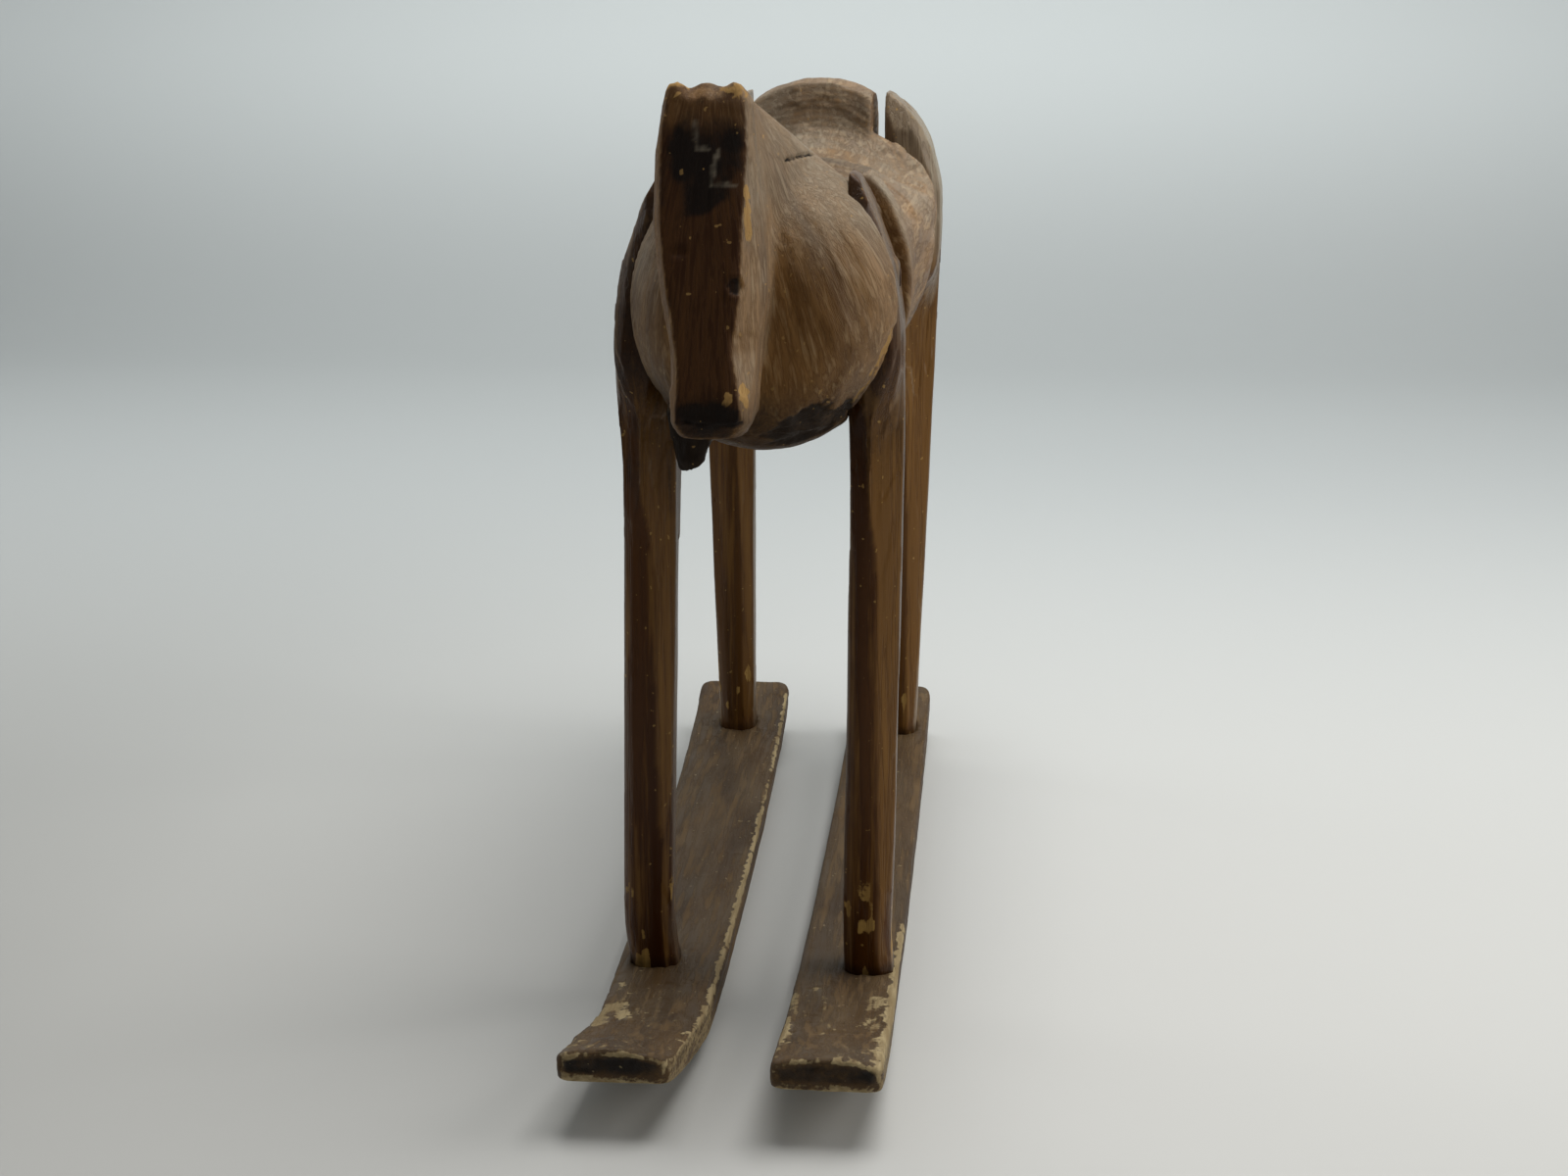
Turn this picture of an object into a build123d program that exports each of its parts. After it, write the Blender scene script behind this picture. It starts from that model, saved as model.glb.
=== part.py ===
from build123d import *
import math
import os

os.makedirs("parts", exist_ok=True)

# Rocking horse, all sizes in millimetres.
# The horse faces -Y, its left side is +X, and the runners rest on Z = 0.

# Runners: boards bent to one long arc, with a ski tip at the front and a
# shorter rise at the rear.
rock_radius = 3800.0
rock_y = 50.0
runner_thick = 18.0
runner_front = -360.0
runner_rear = 360.0
tip_bend_y = -246.0
tip_radius = 480.0
tip_turn = 17.0
heel_bend_y = 256.0
heel_radius = 500.0
heel_turn = 14.0
runner_corner = 9.0
runner_edge = 2.5

# The legs stand a touch left of the middle of the two runners.
leg_mid_x = 5.1

# Legs: a cheek half-lapped into the flank above, a whittled post below,
# a round tenon through the runner.
inner_face = 50.0
front_leg_y = -173.0
rear_leg_y = 291.5
seat_z = 23.5
leg_edge = 7.0
post_z = 270.0
knee_z = 330.0
cheek_z = 375.0
flank_z = 425.0
shoulder_drop = 30.0
shoulder_in = 9.0
crown_drop = 26.0
crown_slope = 14.0
tenon_dia = 24.0
tenon_end_z = 9.5
wedge_depth = 11.0
wedge_wide = 3.6
wedge_thin = 1.6

# The front and rear legs differ: outer half-widths at the foot, the knee and
# the flank, and fore-and-aft sizes of the foot, the post and the cheek.
front_outer = (79.0, 80.0, 78.5)
rear_outer = (77.0, 87.5, 91.0)
front_depth = (30.0, 34.0, 60.0)
rear_depth = (31.0, 38.0, 72.0)
front_crown = 496.0
rear_crown = 519.0
front_lean = 0.5
rear_lean = -22.0
front_foot = (inner_face + front_outer[0]) / 2
rear_foot = (inner_face + rear_outer[0]) / 2
front_cheek_y = front_leg_y + front_lean
rear_cheek_y = rear_leg_y + rear_lean

# Pegs pinning each cheek to the log.
peg_dia = 10.0
peg_inner_x = 24.0
peg_recess = 0.6
peg_low_z = 398.0
peg_high_z = 436.0
peg_stagger = 9.0

# Log body and housings.
housing_slack = 0.5
housing_z = 430.0
housing_high = 300.0
housing_wide = 80.0
axis_x = 8.1
axis_z = 437.0
seat_front_y = -62.0
rump_foot_y = 168.0
rump_knee = (196.0, 492.0)
rump_top_y = 216.0
rump_half = 42.0
log_front_y = -245.0
log_rear_y = 318.0
above_z = 560.0

# Head, leaning to the horse's right.
poll_y = -254.0
poll_z = 541.0
left_ear_x = 0.0
right_ear_x = -30.0
ear_radius = 7.0
poll_radius = 11.0

# Half-length of the blanks that are cut back to a profile.
blank_half = 150.0


def on_side(side, half_width):
    """World X of a point half_width out from the middle of the legs."""
    return leg_mid_x + side * half_width


def across(y):
    """Plane square to the length of the horse, with local X, Y = world X, Z."""
    return Plane(origin=(0, y, 0), x_dir=(1, 0, 0), z_dir=(0, -1, 0))


def is_long(edge):
    """The edges running the length of a board."""
    return edge.length > 100


def is_shin(edge):
    """The four long corners of a post, below the knee."""
    return edge.length > 200 and edge.center().Z < knee_z


def runner_board(plan):
    """Runner blank: one long arc between a ski tip and a heel, cut to the plan of the board."""
    heel_angle = math.degrees(math.asin((heel_bend_y - rock_y) / rock_radius))
    tip_angle = math.degrees(math.asin((rock_y - tip_bend_y) / rock_radius))
    rock_centre = (rock_y, rock_radius)
    top_radius = rock_radius - runner_thick
    sweep = -heel_angle - tip_angle
    with BuildPart() as board:
        with BuildSketch(Plane.YZ):
            with BuildLine():
                sole = CenterArc(rock_centre, rock_radius, heel_angle - 90, sweep)
                top = CenterArc(rock_centre, top_radius, heel_angle - 90, sweep)
                sole_tip = JernArc(sole @ 1, sole % 1, tip_radius, -tip_turn)
                top_tip = JernArc(top @ 1, top % 1, tip_radius - runner_thick, -tip_turn)
                sole_heel = JernArc(sole @ 0, -(sole % 0), heel_radius, heel_turn)
                top_heel = JernArc(top @ 0, -(top % 0), heel_radius - runner_thick, heel_turn)
                Line(sole_heel @ 1, top_heel @ 1)
                Line(sole_tip @ 1, top_tip @ 1)
            make_face()
        extrude(amount=blank_half, both=True)
        with BuildSketch(Plane.XY):
            with BuildLine():
                Polyline(*plan, close=True)
            make_face()
            fillet(vertices(), radius=runner_corner)
        extrude(amount=blank_half, mode=Mode.INTERSECT)
    return board.part


def leg_blank(side, outer, crown, depth, base_y, lean_y):
    """Cheek and post of one leg.

    side is +1 for the horse's left; outer holds the outer half-widths at the
    foot, the knee and the flank; crown is the height of the pointed top; depth
    holds the fore-and-aft sizes of the foot, the post and the cheek.
    """
    foot_out, knee_out, flank_out = outer
    foot, post, cheek = depth
    with BuildPart() as blank:
        with BuildSketch(across(0)):
            with BuildLine():
                inside = Line((on_side(side, inner_face), crown), (on_side(side, inner_face), seat_z))
                foot_line = Line(inside @ 1, (on_side(side, foot_out), seat_z))
                shin = Line(foot_line @ 1, (on_side(side, knee_out), knee_z))
                Spline(
                    shin @ 1,
                    (on_side(side, flank_out), flank_z),
                    (on_side(side, flank_out - shoulder_in), crown - shoulder_drop),
                    inside @ 0,
                    tangents=((side * 0.02, 1), (-side, 0.35)),
                )
            make_face()
        extrude(amount=runner_rear, both=True)
        with BuildSketch(Plane.YZ):
            with BuildLine():
                cheek_y = base_y + lean_y
                foot_edge = Line((base_y - foot / 2, seat_z), (base_y + foot / 2, seat_z))
                rear_shin = Line(foot_edge @ 1, (base_y + post / 2, post_z))
                rear_knee = Spline(
                    rear_shin @ 1,
                    (cheek_y + cheek / 2, cheek_z),
                    tangents=(rear_shin % 1, (0, 1)),
                )
                front_shin = Line(foot_edge @ 0, (base_y - post / 2, post_z))
                front_knee = Spline(
                    front_shin @ 1,
                    (cheek_y - cheek / 2, cheek_z),
                    tangents=(front_shin % 1, (0, 1)),
                )
                Polyline(
                    rear_knee @ 1,
                    (cheek_y + cheek / 2, crown - crown_drop),
                    (cheek_y + cheek / 2 - crown_slope, crown + 2),
                    (cheek_y - cheek / 2 + crown_slope, crown + 2),
                    (cheek_y - cheek / 2, crown - crown_drop),
                    front_knee @ 1,
                )
            make_face()
        extrude(amount=blank_half, both=True, mode=Mode.INTERSECT)
        with BuildSketch(Plane.XY.offset(seat_z)):
            with Locations((on_side(side, (inner_face + foot_out) / 2), base_y)):
                Circle(tenon_dia / 2)
        extrude(amount=tenon_end_z - seat_z)
    return blank.part


def tenon_wedge(centre_x, base_y):
    """Thin wedge driven up into the end of a tenon."""
    with BuildPart() as wedge:
        with BuildSketch(across(base_y)):
            with BuildLine():
                Polyline(
                    (centre_x - wedge_wide / 2, tenon_end_z),
                    (centre_x + wedge_wide / 2, tenon_end_z),
                    (centre_x + wedge_thin / 2, tenon_end_z + wedge_depth),
                    (centre_x - wedge_thin / 2, tenon_end_z + wedge_depth),
                    close=True,
                )
            make_face()
        extrude(amount=tenon_dia / 2 - 1, both=True)
    return wedge.part


def peg_pin(side, outer_x, y, z):
    """Round peg through a cheek into the log, cut just below the surface."""
    reach = outer_x - peg_recess - peg_inner_x
    with BuildPart() as pin:
        with Locations((on_side(side, peg_inner_x + reach / 2), y, z)):
            Cylinder(peg_dia / 2, reach, rotation=(0, 90, 0))
    return pin.part


with BuildPart() as wedge_front_left:
    add(tenon_wedge(on_side(1, front_foot), front_leg_y))

with BuildPart() as wedge_front_right:
    add(tenon_wedge(on_side(-1, front_foot), front_leg_y))

with BuildPart() as wedge_rear_left:
    add(tenon_wedge(on_side(1, rear_foot), rear_leg_y))

with BuildPart() as wedge_rear_right:
    add(tenon_wedge(on_side(-1, rear_foot), rear_leg_y))

with BuildPart() as peg_front_left_low:
    add(peg_pin(1, front_outer[2], front_cheek_y - peg_stagger, peg_low_z))

with BuildPart() as peg_front_left_high:
    add(peg_pin(1, front_outer[2], front_cheek_y + peg_stagger, peg_high_z))

with BuildPart() as peg_front_right_low:
    add(peg_pin(-1, front_outer[2], front_cheek_y - peg_stagger, peg_low_z))

with BuildPart() as peg_front_right_high:
    add(peg_pin(-1, front_outer[2], front_cheek_y + peg_stagger, peg_high_z))

with BuildPart() as peg_rear_left_low:
    add(peg_pin(1, rear_outer[2], rear_cheek_y + peg_stagger, peg_low_z))

with BuildPart() as peg_rear_left_high:
    add(peg_pin(1, rear_outer[2], rear_cheek_y - peg_stagger, peg_high_z))

with BuildPart() as peg_rear_right_low:
    add(peg_pin(-1, rear_outer[2], rear_cheek_y + peg_stagger, peg_low_z))

with BuildPart() as peg_rear_right_high:
    add(peg_pin(-1, rear_outer[2], rear_cheek_y - peg_stagger, peg_high_z))

with BuildPart() as leg_front_left:
    add(leg_blank(1, front_outer, front_crown, front_depth, front_leg_y, front_lean))
    chamfer(edges().filter_by(is_shin), length=leg_edge)
    add(wedge_front_left.part, mode=Mode.SUBTRACT)
    add(peg_front_left_low.part, mode=Mode.SUBTRACT)
    add(peg_front_left_high.part, mode=Mode.SUBTRACT)

with BuildPart() as leg_front_right:
    add(leg_blank(-1, front_outer, front_crown, front_depth, front_leg_y, front_lean))
    chamfer(edges().filter_by(is_shin), length=leg_edge)
    add(wedge_front_right.part, mode=Mode.SUBTRACT)
    add(peg_front_right_low.part, mode=Mode.SUBTRACT)
    add(peg_front_right_high.part, mode=Mode.SUBTRACT)

with BuildPart() as leg_rear_left:
    add(leg_blank(1, rear_outer, rear_crown, rear_depth, rear_leg_y, rear_lean))
    chamfer(edges().filter_by(is_shin), length=leg_edge)
    add(wedge_rear_left.part, mode=Mode.SUBTRACT)
    add(peg_rear_left_low.part, mode=Mode.SUBTRACT)
    add(peg_rear_left_high.part, mode=Mode.SUBTRACT)

with BuildPart() as leg_rear_right:
    add(leg_blank(-1, rear_outer, rear_crown, rear_depth, rear_leg_y, rear_lean))
    chamfer(edges().filter_by(is_shin), length=leg_edge)
    add(wedge_rear_right.part, mode=Mode.SUBTRACT)
    add(peg_rear_right_low.part, mode=Mode.SUBTRACT)
    add(peg_rear_right_high.part, mode=Mode.SUBTRACT)


with BuildPart() as runner_left:
    add(
        runner_board(
            (
                (29.5, runner_rear),
                (91.5, runner_rear),
                (86.0, runner_front),
                (26.5, runner_front),
            )
        )
    )
    fillet(edges().filter_by(is_long), radius=runner_edge)
    add(leg_front_left.part, mode=Mode.SUBTRACT)
    add(leg_rear_left.part, mode=Mode.SUBTRACT)
    with BuildSketch(Plane.XY.offset(seat_z)):
        with Locations((on_side(1, front_foot), front_leg_y), (on_side(1, rear_foot), rear_leg_y)):
            Circle(tenon_dia / 2)
    extrude(amount=-seat_z, mode=Mode.SUBTRACT)

with BuildPart() as runner_right:
    add(
        runner_board(
            (
                (-24.0, runner_rear),
                (-96.3, runner_rear),
                (-79.0, -262.0),
                (-88.0, runner_front),
                (-26.0, runner_front),
                (-17.5, -250.0),
            )
        )
    )
    fillet(edges().filter_by(is_long), radius=runner_edge)
    add(leg_front_right.part, mode=Mode.SUBTRACT)
    add(leg_rear_right.part, mode=Mode.SUBTRACT)
    with BuildSketch(Plane.XY.offset(seat_z)):
        with Locations((on_side(-1, front_foot), front_leg_y), (on_side(-1, rear_foot), rear_leg_y)):
            Circle(tenon_dia / 2)
    extrude(amount=-seat_z, mode=Mode.SUBTRACT)

with BuildPart() as log_blank:
    # Trunk: rounded chest at the front, fullest at the flanks, blunt rump.
    for y, centre_z, half_wide, half_high in (
        (log_front_y, 420.0, 30.0, 34.0),
        (-232.0, 422.0, 58.0, 64.0),
        (-205.0, 425.0, 72.0, 80.0),
        (-90.0, 430.0, 81.0, 88.0),
        (110.0, 437.0, 87.0, 91.0),
        (270.0, 437.0, 85.0, 91.0),
        (306.0, 436.0, 77.0, 82.0),
        (log_rear_y, 435.0, 58.0, 62.0),
    ):
        with BuildSketch(across(y)):
            with Locations((axis_x, centre_z)):
                Ellipse(half_wide, half_high)
    loft()

with BuildPart() as seat_blank:
    # Seat: the trunk hewn low and crowned between the neck and the rump.
    for y, half_wide, half_high in (
        (-150.0, 76.0, 66.0),
        (-90.0, 81.0, 50.0),
        (-30.0, 83.5, 46.0),
        (60.0, 86.0, 54.0),
        (150.0, 86.5, 62.0),
        (234.0, 85.5, 64.0),
    ):
        with BuildSketch(across(y)):
            with Locations((axis_x, axis_z)):
                Ellipse(half_wide, half_high)
    loft()

with BuildPart() as seat_cut:
    # What is hewn away above the seat, up to the steep face of the rump.
    with BuildSketch(Plane.YZ):
        with BuildLine():
            Polyline(
                (seat_front_y, axis_z),
                (rump_foot_y, axis_z),
                rump_knee,
                (rump_top_y, above_z),
                (seat_front_y - 90, above_z),
                close=True,
            )
        make_face()
    extrude(amount=blank_half, both=True)

with BuildPart() as shoulder_cut:
    # The rump stands up as a narrow block: its shoulders are hewn down beside it.
    cut_long = rear_cheek_y - rump_foot_y
    for side in (1, -1):
        with Locations(
            (
                on_side(side, rump_half + housing_wide / 2),
                rump_foot_y + cut_long / 2,
                (axis_z + above_z) / 2,
            )
        ):
            Box(housing_wide, cut_long, above_z - axis_z)

with BuildPart() as neck_blank:
    # Neck: grows out of the trunk, narrows and leans to the horse's right.
    for origin, facing, half_wide, half_long in (
        ((8.7, -75, 430), (0, -0.55, 0.84), 66, 84),
        ((1.7, -160, 462), (-0.08, -0.78, 0.62), 58, 64),
        ((-9.3, -222, 496), (-0.1, -0.88, 0.47), 36, 50),
        ((-14.3, -252, 506), (-0.05, -0.95, 0.3), 21, 33),
    ):
        with BuildSketch(Plane(origin=origin, x_dir=(1, 0, 0), z_dir=facing)):
            Ellipse(half_wide, half_long)
    loft()

with BuildPart() as head_blank:
    # Head: a whittled wedge hanging from the poll. Each level has a flat face
    # between two bevels, then the cheeks and a flat back.
    for z, face_y, face_right, face_left, right, left, bevel, back_y in (
        (367.0, -295.0, -22.0, 1.0, -26.0, 7.0, 8.0, -262.0),
        (376.0, -301.0, -28.0, 6.0, -31.0, 12.0, 8.0, -254.0),
        (393.0, -299.0, -26.0, 5.0, -31.0, 13.0, 10.0, -250.0),
        (412.0, -294.0, -27.0, 0.5, -32.5, 14.5, 15.0, -240.0),
        (440.0, -287.0, -32.5, 4.5, -38.5, 18.5, 17.0, -226.0),
        (475.0, -278.0, -37.0, 5.5, -43.0, 17.0, 15.0, -210.0),
        (510.0, -269.0, -37.5, 7.0, -42.0, 12.0, 11.0, -200.0),
        (538.0, -262.0, -35.5, 6.0, -38.0, 9.0, 8.0, -225.0),
        (542.0, -258.0, -33.0, 3.0, -35.0, 5.0, 6.0, -232.0),
    ):
        with BuildSketch(Plane.XY.offset(z)):
            with BuildLine():
                Polyline(
                    (face_right, face_y),
                    (face_left, face_y),
                    (left, face_y + bevel),
                    (left, back_y),
                    (right, back_y),
                    (right, face_y + bevel),
                    close=True,
                )
            make_face()
    loft(ruled=True)

with BuildPart() as body_log:
    add(log_blank.part)
    add(seat_cut.part, mode=Mode.SUBTRACT)
    add(shoulder_cut.part, mode=Mode.SUBTRACT)
    add(seat_blank.part)
    add(neck_blank.part)
    add(head_blank.part)
    with Locations((left_ear_x, poll_y, poll_z - 1), (right_ear_x, poll_y, poll_z - 1)):
        Sphere(ear_radius)
    with Locations(((left_ear_x + right_ear_x) / 2, poll_y + 6, poll_z - 5)):
        Sphere(poll_radius)
    # Flat housings in the flanks for the four cheeks; the rear ones run out at the rump.
    for side in (1, -1):
        housing_x = on_side(side, inner_face + housing_wide / 2)
        with Locations((housing_x, front_cheek_y, housing_z)):
            Box(
                housing_wide,
                front_depth[2] + 2 * housing_slack,
                housing_high,
                mode=Mode.SUBTRACT,
            )
        rear_run = runner_rear - (rear_cheek_y - rear_depth[2] / 2 - housing_slack)
        with Locations((housing_x, runner_rear - rear_run / 2, housing_z)):
            Box(housing_wide, rear_run, housing_high, mode=Mode.SUBTRACT)
    add(peg_front_left_low.part, mode=Mode.SUBTRACT)
    add(peg_front_left_high.part, mode=Mode.SUBTRACT)
    add(peg_front_right_low.part, mode=Mode.SUBTRACT)
    add(peg_front_right_high.part, mode=Mode.SUBTRACT)
    add(peg_rear_left_low.part, mode=Mode.SUBTRACT)
    add(peg_rear_left_high.part, mode=Mode.SUBTRACT)
    add(peg_rear_right_low.part, mode=Mode.SUBTRACT)
    add(peg_rear_right_high.part, mode=Mode.SUBTRACT)

body_log.part.label = "body_log"
export_step(body_log.part, "parts/body_log.step")

leg_front_left.part.label = "leg_front_left"
export_step(leg_front_left.part, "parts/leg_front_left.step")

leg_front_right.part.label = "leg_front_right"
export_step(leg_front_right.part, "parts/leg_front_right.step")

leg_rear_left.part.label = "leg_rear_left"
export_step(leg_rear_left.part, "parts/leg_rear_left.step")

leg_rear_right.part.label = "leg_rear_right"
export_step(leg_rear_right.part, "parts/leg_rear_right.step")

runner_left.part.label = "runner_left"
export_step(runner_left.part, "parts/runner_left.step")

runner_right.part.label = "runner_right"
export_step(runner_right.part, "parts/runner_right.step")

peg_front_left_low.part.label = "peg_front_left_low"
export_step(peg_front_left_low.part, "parts/peg_front_left_low.step")

peg_front_left_high.part.label = "peg_front_left_high"
export_step(peg_front_left_high.part, "parts/peg_front_left_high.step")

peg_front_right_low.part.label = "peg_front_right_low"
export_step(peg_front_right_low.part, "parts/peg_front_right_low.step")

peg_front_right_high.part.label = "peg_front_right_high"
export_step(peg_front_right_high.part, "parts/peg_front_right_high.step")

peg_rear_left_low.part.label = "peg_rear_left_low"
export_step(peg_rear_left_low.part, "parts/peg_rear_left_low.step")

peg_rear_left_high.part.label = "peg_rear_left_high"
export_step(peg_rear_left_high.part, "parts/peg_rear_left_high.step")

peg_rear_right_low.part.label = "peg_rear_right_low"
export_step(peg_rear_right_low.part, "parts/peg_rear_right_low.step")

peg_rear_right_high.part.label = "peg_rear_right_high"
export_step(peg_rear_right_high.part, "parts/peg_rear_right_high.step")

wedge_front_left.part.label = "wedge_front_left"
export_step(wedge_front_left.part, "parts/wedge_front_left.step")

wedge_front_right.part.label = "wedge_front_right"
export_step(wedge_front_right.part, "parts/wedge_front_right.step")

wedge_rear_left.part.label = "wedge_rear_left"
export_step(wedge_rear_left.part, "parts/wedge_rear_left.step")

wedge_rear_right.part.label = "wedge_rear_right"
export_step(wedge_rear_right.part, "parts/wedge_rear_right.step")
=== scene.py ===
import math

import bmesh
import bpy
import numpy as np
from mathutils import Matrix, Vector, kdtree


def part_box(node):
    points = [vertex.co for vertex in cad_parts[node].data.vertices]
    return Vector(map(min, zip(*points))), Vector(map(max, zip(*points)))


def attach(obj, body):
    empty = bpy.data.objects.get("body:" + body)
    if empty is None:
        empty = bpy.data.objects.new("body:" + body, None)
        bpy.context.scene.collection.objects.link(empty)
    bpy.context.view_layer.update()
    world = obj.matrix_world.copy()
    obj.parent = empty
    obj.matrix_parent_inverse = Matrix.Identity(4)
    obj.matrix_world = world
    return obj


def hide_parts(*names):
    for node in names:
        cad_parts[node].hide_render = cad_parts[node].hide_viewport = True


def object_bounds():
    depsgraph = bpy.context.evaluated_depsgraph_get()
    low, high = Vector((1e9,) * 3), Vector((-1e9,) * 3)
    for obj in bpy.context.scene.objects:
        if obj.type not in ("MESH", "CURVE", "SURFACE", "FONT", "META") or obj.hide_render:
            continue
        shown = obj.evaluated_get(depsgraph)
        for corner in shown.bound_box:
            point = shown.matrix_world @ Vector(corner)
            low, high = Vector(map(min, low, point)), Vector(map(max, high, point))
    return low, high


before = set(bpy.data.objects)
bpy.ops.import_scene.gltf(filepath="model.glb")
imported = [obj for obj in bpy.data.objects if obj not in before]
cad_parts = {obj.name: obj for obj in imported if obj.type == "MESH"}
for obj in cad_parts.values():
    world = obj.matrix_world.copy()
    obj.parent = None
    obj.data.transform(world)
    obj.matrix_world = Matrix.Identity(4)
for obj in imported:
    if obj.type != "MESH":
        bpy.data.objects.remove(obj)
cad_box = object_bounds()

# A small rocking horse hewn from a log, with whittled legs and bent runner boards. Each CAD node of
# the log, legs and runners becomes a fine skin that is carved, and whose masks tell the material
# where the wood is worn bare, dark with dirt, darkened as painted shade, dusty and greyed as painted
# sheen, or cut across the grain.

# Lengths on the horse are millimetres. The floor and the lamps are in metres, Blender's own unit.
MM = 0.001
BODY = "root"

# Voxel sizes of the carved skins.
LOG_VOXEL = 1.6
LEG_VOXEL = 1.5
RUNNER_VOXEL = 1.7

# Radius of the dark ring round a peg's end, a little more than the peg's own.
PEG_RING = 6.0


# ---------------------------------------------------------------- noise

def lattice_noise(points, cell, seed):
    """Smooth noise from -1 to 1 on a lattice with the given cell size (one or three numbers)."""
    q = points / np.asarray(cell, float) + 0.37 * seed
    base = np.floor(q).astype(np.int64)
    t = q - base
    t = t * t * (3 - 2 * t)
    total = np.zeros(len(points))
    for corner in range(8):
        step = np.array([corner & 1, corner >> 1 & 1, corner >> 2 & 1])
        ids = base + step
        h = ids[:, 0] * 73856093 ^ ids[:, 1] * 19349663 ^ ids[:, 2] * 83492791 ^ (seed * 97 + 13) * 2654435
        h = (h ^ (h >> 13)) * 1274126177
        h = (h ^ (h >> 16)) & 0xFFFFFF
        weight = np.prod(np.where(step, t, 1 - t), axis=1)
        total += weight * (h / 0xFFFFFF * 2 - 1)
    return total


def rough_noise(points, cell, seed, octaves=3):
    """Several octaves of lattice noise."""
    total = np.zeros(len(points))
    for i in range(octaves):
        total += lattice_noise(points, np.asarray(cell, float) / 2**i, seed + i) / 2**i
    return total / 1.6


def ramp(value, low, high):
    """Smooth step from 0 at low to 1 at high; the ends may be the other way round."""
    t = np.clip((value - low) / (high - low), 0, 1)
    return t * t * (3 - 2 * t)


# ---------------------------------------------------------------- carving

class Carving:
    """A CAD node's shape as a fine skin that is smoothed, faceted, grooved and masked."""

    def __init__(self, node, voxel, name, lumps=()):
        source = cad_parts[node]
        self.obj = bpy.data.objects.new(name, source.data.copy())
        bpy.context.scene.collection.objects.link(self.obj)
        shape = bmesh.new()
        shape.from_mesh(self.obj.data)
        for corners in lumps:
            ends = [shape.verts.new(Vector(corner) * MM) for corner in corners]
            bmesh.ops.convex_hull(shape, input=ends)
        shape.to_mesh(self.obj.data)
        shape.free()
        skin = self.obj.modifiers.new("skin", "REMESH")
        skin.mode = "VOXEL"
        skin.voxel_size = voxel * MM
        depsgraph = bpy.context.evaluated_depsgraph_get()
        self.obj.data = bpy.data.meshes.new_from_object(self.obj.evaluated_get(depsgraph))
        self.obj.modifiers.clear()
        self.mesh = self.obj.data
        self.mesh.materials.clear()
        self.masks = {}
        self.read()

    def read(self):
        """Takes the vertices' places, the edges and the normals from the mesh."""
        count = len(self.mesh.vertices)
        flat = np.zeros(count * 3)
        self.mesh.vertices.foreach_get("co", flat)
        self.co = flat.reshape(-1, 3) / MM
        ends = np.zeros(len(self.mesh.edges) * 2, np.int64)
        self.mesh.edges.foreach_get("vertices", ends)
        self.ends = ends.reshape(-1, 2)
        degree = np.bincount(self.ends.ravel(), minlength=count)
        self.degree = np.maximum(degree, 1)
        self.renormal()

    def renormal(self):
        """Writes the places back and reads the vertex normals."""
        self.mesh.vertices.foreach_set("co", (self.co * MM).ravel())
        self.mesh.update()
        flat = np.zeros(len(self.co) * 3)
        self.mesh.vertex_normals.foreach_get("vector", flat)
        self.normal = flat.reshape(-1, 3)

    def neighbour_mean(self, values):
        """The mean of each vertex's neighbours, for a column or an N by 3 array."""
        values = values.reshape(len(self.co), -1)
        a, b = self.ends.T
        out = np.empty_like(values)
        for i in range(values.shape[1]):
            out[:, i] = np.bincount(a, weights=values[b, i], minlength=len(values))
            out[:, i] += np.bincount(b, weights=values[a, i], minlength=len(values))
        return out / self.degree[:, None]

    def smooth(self, times, mask=1.0, amount=0.5):
        """Relaxes the skin where mask is 1."""
        mask = np.broadcast_to(mask, len(self.co))[:, None] * amount
        for _ in range(times):
            self.co += (self.neighbour_mean(self.co) - self.co) * mask
        self.renormal()

    def push(self, height):
        """Moves the skin along its normals by a height in millimetres."""
        self.co += self.normal * np.broadcast_to(height, len(self.co))[:, None]
        self.renormal()

    def plane(self, point, facing, seed, wave=0.5):
        """Cuts the skin back to a long, slightly wavy flat, and says which vertices lie on it."""
        facing = np.asarray(facing, float) / np.linalg.norm(facing)
        wavy = rough_noise(self.co, (30, 30, 60), seed, 2) * wave
        over = (self.co - np.asarray(point, float)) @ facing + wavy
        self.co -= np.outer(np.maximum(over, 0), facing)
        self.renormal()
        return over > -0.3

    def facets(self, size, strength, limit, seed, mask=1.0, guide=None):
        """Cuts the skin to flats of about the given size, as a drawknife does.

        guide holds the coordinates that the flats are laid out in; the places themselves if left out.
        """
        guide = (self.co if guide is None else guide) / np.asarray(size, float)
        jitter = np.stack([lattice_noise(guide, 1.7, seed + k) for k in range(3)], 1)
        ids = np.floor(guide + 0.35 * jitter).astype(np.int64)
        side = np.argmax(np.abs(self.normal), axis=1) * 2 + (self.normal.sum(1) > 0)
        keys = ids[:, 0] * 1000003 + ids[:, 1] * 10007 + ids[:, 2] * 101 + side
        _, group = np.unique(keys, return_inverse=True)
        count = np.bincount(group)[:, None]

        def group_mean(values):
            return np.stack([np.bincount(group, weights=values[:, k]) for k in range(3)], 1) / count

        middle, centre, facing = group_mean(self.co), group_mean(guide), group_mean(self.normal)
        facing /= np.linalg.norm(facing, axis=1)[:, None] + 1e-9
        tree = kdtree.KDTree(len(middle))
        for i, place in enumerate(centre):
            tree.insert(place, i)
        tree.balance()
        wanted = np.flatnonzero(np.broadcast_to(mask, len(self.co)) > 0.01)
        near = np.array([[j for _, j, _ in tree.find_n(guide[i], 3)] for i in wanted])
        height = np.zeros(len(self.co))
        best = np.full(len(wanted), 1e9)
        for column in near.T:
            lean = np.einsum("ij,ij->i", self.normal[wanted], facing[column])
            cut = np.einsum("ij,ij->i", middle[column] - self.co[wanted], facing[column])
            best = np.where(lean > 0.5, np.minimum(best, cut / np.maximum(lean, 0.5)), best)
        height[wanted] = np.where(best > 1e8, 0, best)
        self.push(np.clip(height, -limit, limit * 0.4) * strength * mask)

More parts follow.
